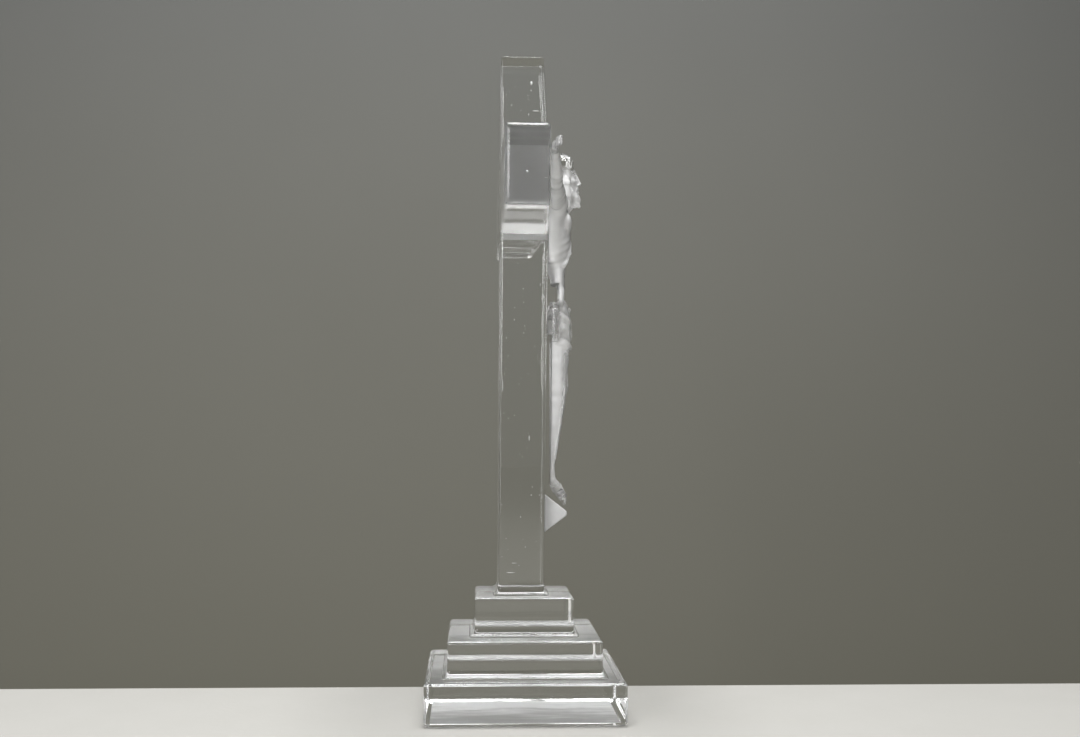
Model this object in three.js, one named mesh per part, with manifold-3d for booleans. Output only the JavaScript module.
// Standing crystal crucifix: a stepped square base of three clear glass blocks, a clear glass cross
// made of one upright and two arms, and a satin glass corpus with its own wedge-shaped footrest.
// Millimetres, +Z up. The origin is the centre of the base's underside. X runs along the arms and
// the corpus faces -Y.

import * as THREE from "three";
import { mergeVertices } from "three/addons/utils/BufferGeometryUtils.js";
import Module from "manifold-3d";

const wasm = await Module();
wasm.setup();

// ---- Driving dimensions ---------------------------------------------------------------------

const BOND_FILM = 0.25; // thickness of each cured clear bond between two glass faces
const TIER_BOND_INSET = 0.5; // how far a bond under a block stops short of its foot
const TOUCH = 0.03; // clearance left where a bond lies against a slanting face
const COVE_REACH = 2.5; // how far a coved foot spreads sideways
const COVE_LIP = 0.5; // upright lip where the cove meets the face below
const COVE_STEPS = 6;
const EDGE_RADIUS = 1.5; // polished round on most outside edges
const UNDERSIDE_RADIUS = 2.5; // rounder edge that the base stands on
const TIP_RADIUS = 2.5; // rounder edge at the end of each arm
const TOP_RADIUS = 1.2; // round at the top of the upright, front and back
const TOP_SIDE_SHARE = 0.25; // the two side edges of the top are broken by this share of it
const ROUND_STEPS = 4;

const LOWER_TIER = { half: 47, bottom: 0, top: 20 };
const MIDDLE_TIER = { half: 36.5, bottom: 20.25, top: 37.5, coveHeight: 4.25 };
const UPPER_TIER = { half: 23.75, bottom: 37.75, top: 56.25, coveHeight: 4 };

const CROSS_BOTTOM = 56.5;
const CROSS_TOP = 320;
const CROSS_BACK = 12.5; // the whole back of the cross is one plane
const UPRIGHT_HALF_WIDTH = 16;
const UPRIGHT_COVE_HEIGHT = 4.5;
const ARM_TIP = 98; // distance of each arm's end from the centre plane
const ARM_BOTTOM = 232.75;
const ARM_TOP = 268.75;
const ARM_ROOT_SPREAD = 0.75; // an arm is this much taller at its root, above and below
const ROOT_BOTTOM = ARM_BOTTOM - ARM_ROOT_SPREAD;
const ROOT_TOP = ARM_TOP + ARM_ROOT_SPREAD;
const TAPER_START = 270; // above this the sides of the upright draw in
const TOP_DRAW_IN = 1;
const FRONT_AT_CROSSING = -11; // the front is flat across the crossing and falls away from it
const FRONT_AT_FOOT = -9.5;
const FRONT_AT_TOP = -8.5;
const FRONT_AT_ARM_TIP = -7.5;

const CORPUS_BACK = -11.25; // flat back of the torso, one bond film off the crossing
const LEG_BACK = -13.25; // the legs stand a little clear of the upright
const WAIST_GAP = { bottom: 198.75, top: 208.75, front: -16.75 };

// Side outline of the footrest: root on the upright, blunt nose, sloping underside.
const FOOTREST = {
  halfWidth: 8,
  back: -10.25,
  apex: -21.25,
  top: 104.75,
  nose: 96.25,
  underNose: 94.25,
  bottom: 86,
};
const REST_GAP = 0.3; // clearance under the feet and behind the arms of the corpus

const HAND = { across: 76, height: 263.5, radii: [6, 2.6, 4] };
const HAND_BOND = { from: 72.5, to: 79.5, bottom: 261, top: 266 };
const REST_BOND = { halfWidth: 6, bottom: 88, top: 102.5 };

// ---- Materials ------------------------------------------------------------------------------

const clearGlass = () => new THREE.MeshStandardMaterial({ color: 0xcfd3cf, roughness: 0.05, metalness: 0 });
const satinGlass = () => new THREE.MeshStandardMaterial({ color: 0xd9dcd8, roughness: 0.6, metalness: 0 });
const bondResin = () => new THREE.MeshStandardMaterial({ color: 0xe2e4df, roughness: 0.15, metalness: 0 });

// ---- Helpers --------------------------------------------------------------------------------

// Keeps only positions and merges shared corners, so that the mesh is closed.
function welded(geometry) {
  const flat = geometry.index ? geometry.toNonIndexed() : geometry;
  flat.deleteAttribute("normal");
  flat.deleteAttribute("uv");
  return mergeVertices(flat, 1e-5);
}

// Moves every vertex of a geometry by a rule that takes and returns [x, y, z].
function reshaped(geometry, rule) {
  const position = geometry.attributes.position;
  for (let i = 0; i < position.count; i += 1) {
    const moved = rule(position.getX(i), position.getY(i), position.getZ(i));
    position.setXYZ(i, moved[0], moved[1], moved[2]);
  }
  return geometry;
}

// Turns every triangle round, for a geometry that has been mirrored.
function turnedInsideOut(geometry) {
  const index = geometry.index;
  for (let i = 0; i < index.count; i += 3) {
    const second = index.getX(i + 1);
    index.setX(i + 1, index.getX(i + 2));
    index.setX(i + 2, second);
  }
  return geometry;
}

// Straight line between the given [position, value] stations.
function interpolate(stations, at) {
  const last = stations.length - 1;
  if (at <= stations[0][0]) return stations[0][1];
  if (at >= stations[last][0]) return stations[last][1];
  const k = stations.findIndex((station) => station[0] >= at);
  const [from, to] = [stations[k - 1], stations[k]];
  return from[1] + ((at - from[0]) / (to[0] - from[0])) * (to[1] - from[1]);
}

function roundedRectangle(x0, x1, y0, y1, radius) {
  const shape = new THREE.Shape();
  shape.moveTo(x0 + radius, y0);
  shape.lineTo(x1 - radius, y0);
  shape.absarc(x1 - radius, y0 + radius, radius, -Math.PI / 2, 0);
  shape.lineTo(x1, y1 - radius);
  shape.absarc(x1 - radius, y1 - radius, radius, 0, Math.PI / 2);
  shape.lineTo(x0 + radius, y1);
  shape.absarc(x0 + radius, y1 - radius, radius, Math.PI / 2, Math.PI);
  shape.lineTo(x0, y0 + radius);
  shape.absarc(x0 + radius, y0 + radius, radius, Math.PI, (3 * Math.PI) / 2);
  return shape;
}

// A bar with rounded long edges whose outline grows or shrinks by `outset` at each station along it.
function profiledBar(x0, x1, y0, y1, stations) {
  const spans = stations.length - 1;
  const shape = roundedRectangle(x0, x1, y0, y1, EDGE_RADIUS);
  const options = { depth: 1, steps: spans, bevelEnabled: false, curveSegments: ROUND_STEPS };
  const midX = (x0 + x1) / 2;
  const midY = (y0 + y1) / 2;
  return reshaped(welded(new THREE.ExtrudeGeometry(shape, options)), (x, y, z) => {
    const [along, outset] = stations[Math.round(z * spans)];
    return [x + Math.sign(x - midX) * outset, y + Math.sign(y - midY) * outset, along];
  });
}

// Stations of a concave cove that starts on a lip at `bottom` and runs up into a plain side.
function coveStations(bottom, height) {
  const stations = [[bottom, COVE_REACH]];
  for (let i = 0; i <= COVE_STEPS; i += 1) {
    const angle = (i / COVE_STEPS) * (Math.PI / 2);
    const rise = (height - COVE_LIP) * (1 - Math.cos(angle));
    stations.push([bottom + COVE_LIP + rise, COVE_REACH * (1 - Math.sin(angle))]);
  }
  return stations;
}

// Stations of a quarter round that ends a bar at `end`; `inward` is +1 if the bar lies above it.
function roundStations(end, inward, radius = EDGE_RADIUS) {
  const stations = [];
  for (let i = 0; i <= ROUND_STEPS; i += 1) {
    const angle = (i / ROUND_STEPS) * (Math.PI / 2);
    const back = radius * (1 - Math.cos(angle));
    stations.push([end + inward * back, -radius * (1 - Math.sin(angle))]);
  }
  return inward > 0 ? stations : stations.reverse();
}

function box(x0, x1, y0, y1, z0, z1) {
  const geometry = new THREE.BoxGeometry(x1 - x0, y1 - y0, z1 - z0);
  geometry.translate((x0 + x1) / 2, (y0 + y1) / 2, (z0 + z1) / 2);
  return welded(geometry);
}

function toSolid(geometry) {
  const vertProperties = Float32Array.from(geometry.attributes.position.array);
  const triVerts = Uint32Array.from(geometry.index.array);
  return new wasm.Manifold(new wasm.Mesh({ numProp: 3, vertProperties, triVerts }));
}

function fromSolid(solid) {
  const mesh = solid.getMesh();
  const geometry = new THREE.BufferGeometry();
  geometry.setAttribute("position", new THREE.BufferAttribute(mesh.vertProperties, 3));
  geometry.setIndex(new THREE.BufferAttribute(mesh.triVerts, 1));
  return geometry;
}

// ---- Base -----------------------------------------------------------------------------------

function lowerTier() {
  const { half, bottom, top } = LOWER_TIER;
  const stations = [...roundStations(bottom, 1, UNDERSIDE_RADIUS), ...roundStations(top, -1)];
  return profiledBar(-half, half, -half, half, stations);
}

function covedTier({ half, bottom, top, coveHeight }) {
  const stations = [...coveStations(bottom, coveHeight), ...roundStations(top, -1)];
  return profiledBar(-half, half, -half, half, stations);
}

function tierBond(upper) {
  const half = upper.half + COVE_REACH - TIER_BOND_INSET;
  return box(-half, half, -half, half, upper.bottom - BOND_FILM, upper.bottom);
}

// ---- Cross ----------------------------------------------------------------------------------

const uprightFront = [
  [CROSS_BOTTOM, FRONT_AT_FOOT],
  [ROOT_BOTTOM, FRONT_AT_CROSSING],
  [ROOT_TOP, FRONT_AT_CROSSING],
  [CROSS_TOP, FRONT_AT_TOP],
];

const armFront = [
  [UPRIGHT_HALF_WIDTH, FRONT_AT_CROSSING],
  [ARM_TIP, FRONT_AT_ARM_TIP],
];

// The long edges are rounded except where the arms meet the upright: there they are left square.
function upright() {
  const topRound = roundStations(CROSS_TOP, -1, TOP_RADIUS);
  const stations = [
    ...coveStations(CROSS_BOTTOM, UPRIGHT_COVE_HEIGHT),
    [ROOT_BOTTOM, 0],
    [ROOT_TOP, 0],
    [TAPER_START, 0],
    ...topRound,
  ];
  const width = UPRIGHT_HALF_WIDTH;
  const bar = profiledBar(-width, width, FRONT_AT_CROSSING, CROSS_BACK, stations);
  const shaped = reshaped(bar, (x, y, z) => {
    const setBack = interpolate(uprightFront, z) - FRONT_AT_CROSSING;
    const drawIn = interpolate([[TAPER_START, 0], [CROSS_TOP, TOP_DRAW_IN]], z);
    const giveBack = (TOP_SIDE_SHARE - 1) * interpolate(topRound, z);
    return [x + Math.sign(x) * (giveBack - drawIn), y < 0 ? y + setBack : y, z];
  });
  const crossing = box(-width, width, FRONT_AT_CROSSING, CROSS_BACK, ROOT_BOTTOM, ROOT_TOP);
  return fromSolid(toSolid(shaped).add(toSolid(crossing)));
}

// An arm is laid out along +Z, then turned so that its root meets the side of the upright.
function arm(side) {
  const root = UPRIGHT_HALF_WIDTH + BOND_FILM;
  const stations = [[root, 0], ...roundStations(ARM_TIP, -1, TIP_RADIUS)];
  const bar = profiledBar(FRONT_AT_CROSSING, CROSS_BACK, ARM_BOTTOM, ARM_TOP, stations);
  const middle = (ARM_BOTTOM + ARM_TOP) / 2;
  const laid = reshaped(bar, (depth, height, along) => {
    const setBack = interpolate(armFront, along) - FRONT_AT_CROSSING;
    const spread = interpolate([[root, ARM_ROOT_SPREAD], [ARM_TIP, 0]], along);
    const grown = height + Math.sign(height - middle) * spread;
    return [side * along, depth < 0 ? depth + setBack : depth, grown];
  });
  return side > 0 ? laid : turnedInsideOut(laid);
}

// A bond with the same outline as the root of the arm that it holds.
function armBond(side) {
  const stations = [[UPRIGHT_HALF_WIDTH, 0], [UPRIGHT_HALF_WIDTH + BOND_FILM, 0]];
  const bar = profiledBar(FRONT_AT_CROSSING, CROSS_BACK, ROOT_BOTTOM, ROOT_TOP, stations);
  const laid = reshaped(bar, (depth, height, along) => [side * along, depth, height]);
  return side > 0 ? laid : turnedInsideOut(laid);
}

function uprightBond() {
  const spread = COVE_REACH - TIER_BOND_INSET;
  const half = UPRIGHT_HALF_WIDTH + spread;
  const front = FRONT_AT_FOOT - spread;
  return box(-half, half, front, CROSS_BACK + spread, CROSS_BOTTOM - BOND_FILM, CROSS_BOTTOM);
}

// ---- Corpus ---------------------------------------------------------------------------------

function ellipsoid(center, radii, tilt = 0) {
  const geometry = new THREE.SphereGeometry(1, 18, 12);
  geometry.scale(radii[0], radii[1], radii[2]);
  geometry.rotateX(tilt);
  geometry.translate(center[0], center[1], center[2]);
  return toSolid(welded(geometry));
}

// A round-ended limb that tapers from radius r0 at `from` to r1 at `to`.
function limb(from, r0, to, r1) {
  const start = new THREE.Vector3(...from);
  const end = new THREE.Vector3(...to);
  const length = start.distanceTo(end);
  const points = [];
  for (let i = 0; i <= 4; i += 1) {
    const angle = (i / 4) * (Math.PI / 2);
    points.push(new THREE.Vector2(r0 * Math.sin(angle), -r0 * Math.cos(angle)));
  }
  for (let i = 0; i <= 4; i += 1) {
    const angle = (i / 4) * (Math.PI / 2);
    points.push(new THREE.Vector2(r1 * Math.cos(angle), length + r1 * Math.sin(angle)));
  }
  points[0].x = 0;
  points[points.length - 1].x = 0;
  const geometry = new THREE.LatheGeometry(points, 12);
  const direction = end.clone().sub(start).normalize();
  const turn = new THREE.Quaternion().setFromUnitVectors(new THREE.Vector3(0, 1, 0), direction);
  geometry.applyQuaternion(turn);
  geometry.translate(from[0], from[1], from[2]);
  return toSolid(welded(geometry));
}

// Joins the masses of the body, then cuts its flat back and the hollows it stands clear of.
function corpus() {
  const masses = [
    ellipsoid([0, -16, 234], [16.5, 7.75, 17]), // chest
    ellipsoid([0, -16.5, 246], [18.5, 4.5, 6]), // shoulders
    ellipsoid([0, -17, 210], [12, 3.75, 18]), // belly
    ellipsoid([0, -17, 189], [14, 5.5, 15]), // hips and loincloth
    limb([0, -16.5, 246], 5, [-1, -19, 254], 4.5), // neck
    ellipsoid([-1.5, -20.5, 261.5], [9, 6, 13.25], 0.35), // head and hair
    limb([-6.5, -16.5, 186], 6, [-6, -16.2, 153], 4.2), // right thigh
    limb([6.5, -16.5, 186], 6, [5, -18, 162], 4.6), // left thigh
    limb([-6, -16.2, 153], 4.1, [-2.6, -13.8, 112], 2.1), // right shin
    limb([5, -18, 162], 4.3, [2.6, -13.8, 112], 2.1), // left shin
    limb([-2.6, -13.8, 112], 2.3, [-2.2, -19.3, 99], 2), // right foot
    limb([2.6, -13.8, 112], 2.3, [2.2, -19.3, 99], 2), // left foot
  ];
  for (const side of [-1, 1]) {
    masses.push(limb([side * 17, -15.5, 246], 5, [side * 46, -12.6, 253], 3.4));
    masses.push(limb([side * 46, -12.6, 253], 3.3, [side * 71, -11.2, 261], 2.2));
    masses.push(ellipsoid([side * HAND.across, -11.2, HAND.height], HAND.radii));
  }
  const hollows = [
    box(-UPRIGHT_HALF_WIDTH, UPRIGHT_HALF_WIDTH, CORPUS_BACK, 0, 150, 300),
    box(-30, 30, LEG_BACK, 0, 90, 183),
    box(-30, 30, WAIST_GAP.front, 0, WAIST_GAP.bottom, WAIST_GAP.top),
    wedge({ ...FOOTREST, halfWidth: 30, top: FOOTREST.top + 0.5, nose: FOOTREST.nose + 0.5 }),
    behindArmFront(-1),
    behindArmFront(1),
  ];
  const body = masses.reduce((whole, mass) => whole.add(mass));
  return fromSolid(hollows.reduce((whole, hollow) => whole.subtract(toSolid(hollow)), body));
}

const armFrontAt = (across) => interpolate(armFront, across);

// A slab behind the slanting front of one arm, reaching forward to REST_GAP off it.
function behindArmFront(side) {
  const geometry = box(UPRIGHT_HALF_WIDTH, ARM_TIP, 0, 20, 200, 300);
  const slab = reshaped(geometry, (x, y, z) => [side * x, y + armFrontAt(x) - REST_GAP, z]);
  return side > 0 ? slab : turnedInsideOut(slab);
}

// The thin bond between a hand and the slanting front of its arm.
function handBond(side) {
  const { from, to, bottom, top } = HAND_BOND;
  const geometry = box(from, to, TOUCH - REST_GAP, -TOUCH, bottom, top);
  const pad = reshaped(geometry, (x, y, z) => [side * x, y + armFrontAt(x), z]);
  return side > 0 ? pad : turnedInsideOut(pad);
}

function torsoBond() {
  return box(-10, 10, CORPUS_BACK, FRONT_AT_CROSSING, 233, 247);
}

// Fills the thin wedge-shaped gap between the footrest's back and the upright's slanting front.
function footrestBond() {
  const { halfWidth, bottom, top } = REST_BOND;
  const geometry = box(-halfWidth, halfWidth, -1, 0, bottom, top);
  return reshaped(geometry, (x, y, z) => {
    const glass = interpolate(uprightFront, z) - TOUCH;
    return [x, y < 0 ? FOOTREST.back : glass, z];
  });
}

// The side outline is drawn in depth and height, then swept across the width.
function wedge({ halfWidth, back, apex, top, nose, underNose, bottom }) {
  const shape = new THREE.Shape();
  shape.moveTo(back, bottom);
  shape.lineTo(back, top);
  shape.lineTo(apex, nose);
  shape.lineTo(apex, underNose);
  shape.closePath();
  const options = { depth: 2 * halfWidth, bevelEnabled: false };
  const geometry = welded(new THREE.ExtrudeGeometry(shape, options));
  return reshaped(geometry, (depth, height, along) => [along - halfWidth, depth, height]);
}

// ---- Assembly -------------------------------------------------------------------------------

const crucifix = new THREE.Group();

function add(name, geometry, material) {
  const mesh = new THREE.Mesh(geometry, material);
  mesh.name = name;
  crucifix.add(mesh);
}

add("base_lower_tier", lowerTier(), clearGlass());
add("base_middle_tier", covedTier(MIDDLE_TIER), clearGlass());
add("base_upper_tier", covedTier(UPPER_TIER), clearGlass());
add("bond_middle_tier", tierBond(MIDDLE_TIER), bondResin());
add("bond_upper_tier", tierBond(UPPER_TIER), bondResin());
add("bond_upright", uprightBond(), bondResin());
add("upright", upright(), clearGlass());
add("arm_right", arm(-1), clearGlass());
add("arm_left", arm(1), clearGlass());
add("bond_arm_right", armBond(-1), bondResin());
add("bond_arm_left", armBond(1), bondResin());
add("corpus", corpus(), satinGlass());
add("bond_torso", torsoBond(), bondResin());
add("bond_hand_right", handBond(-1), bondResin());
add("bond_hand_left", handBond(1), bondResin());
add("footrest", wedge(FOOTREST), satinGlass());
add("bond_footrest", footrestBond(), bondResin());

export default crucifix;
